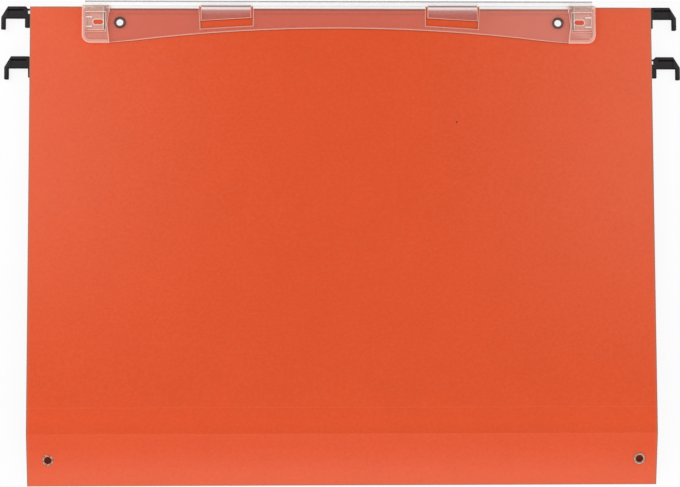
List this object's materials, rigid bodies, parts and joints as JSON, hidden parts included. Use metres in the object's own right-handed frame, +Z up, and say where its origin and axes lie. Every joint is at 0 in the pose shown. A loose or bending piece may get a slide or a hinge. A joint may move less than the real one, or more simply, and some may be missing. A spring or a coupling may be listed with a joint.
{
  "type": "hanging file folder",
  "caption": "Hanging file folder of orange kraft card with a square base, black plastic hooks on steel rails, a riveted clear index holder and a clip-on label lens.",
  "frame": {"origin": "Middle of the bounding box, on the surface that the closed file lies on.", "axes": "+X along the rails to the right, +Y towards the panels' top edges, +Z up out of the front panel."},
  "size_m": [0.4108, 0.2917, 0.0094],
  "materials": {
    "card": "uncoated kraft card",
    "board": "grey board",
    "steel": "zinc plated",
    "eyelet": "nickel plated",
    "hook": "moulded satin",
    "clear": "clear",
    "label": "matt white, bare"
  },
  "bodies": {
    "rear_panel": {"rear_panel": "card"},
    "rear_strip": {"rear_strip": "card"},
    "base": {"base_strip": "card", "base_stiffener": "board", "base_eyelet_left": "eyelet", "base_eyelet_right": "eyelet"},
    "front_strip": {"front_strip": "card"},
    "front_panel": {"front_panel": "card", "index_holder": "clear", "holder_eyelet_left": "eyelet", "holder_eyelet_right": "eyelet"},
    "rear_rail": {"rear_rail": "steel", "rear_hook_left": "hook", "rear_hook_right": "hook"},
    "front_rail": {"front_rail": "steel", "front_hook_left": "hook", "front_hook_right": "hook"},
    "label_lens": {"label_lens": "clear"},
    "label": {"label_strip": "label"}
  },
  "joints": [
    {"name": "rear_score", "type": "hinge", "parent": "rear_panel", "child": "rear_strip", "pos_m": [0, -0.1298, 0.0002], "axis": [1, 0, 0], "range_deg": [0, 90]},
    {"name": "rear_base_crease", "type": "hinge", "parent": "rear_strip", "child": "base", "pos_m": [0, -0.1454, 0.00045], "axis": [1, 0, 0], "range_deg": [0, 74.5]},
    {"name": "front_base_crease", "type": "hinge", "parent": "base", "child": "front_strip", "pos_m": [0, -0.115, 0.00909], "axis": [-1, 0, 0], "range_deg": [0, 74.5]},
    {"name": "front_score", "type": "hinge", "parent": "front_strip", "child": "front_panel", "pos_m": [0, -0.0994, 0.00898], "axis": [1, 0, 0], "range_deg": [0, 90]},
    {"name": "rear_rail_float", "type": "slide", "parent": "rear_panel", "child": "rear_rail", "axis": [1, 0, 0], "range_m": [-0.003, 0.001]},
    {"name": "front_rail_float", "type": "slide", "parent": "front_panel", "child": "front_rail", "axis": [1, 0, 0], "range_m": [-0.001, 0.003]},
    {"name": "lens_pull", "type": "slide", "parent": "front_panel", "child": "label_lens", "axis": [0, 0.9998, -0.0197], "range_m": [0, 0.018]},
    {"name": "label_pull", "type": "slide", "parent": "label_lens", "child": "label", "axis": [1, 0, 0], "range_m": [0, 0.026]}
  ],
  "couplings": [
    {"joint": "front_base_crease", "follows": "rear_base_crease", "ratio": 1}
  ]
}
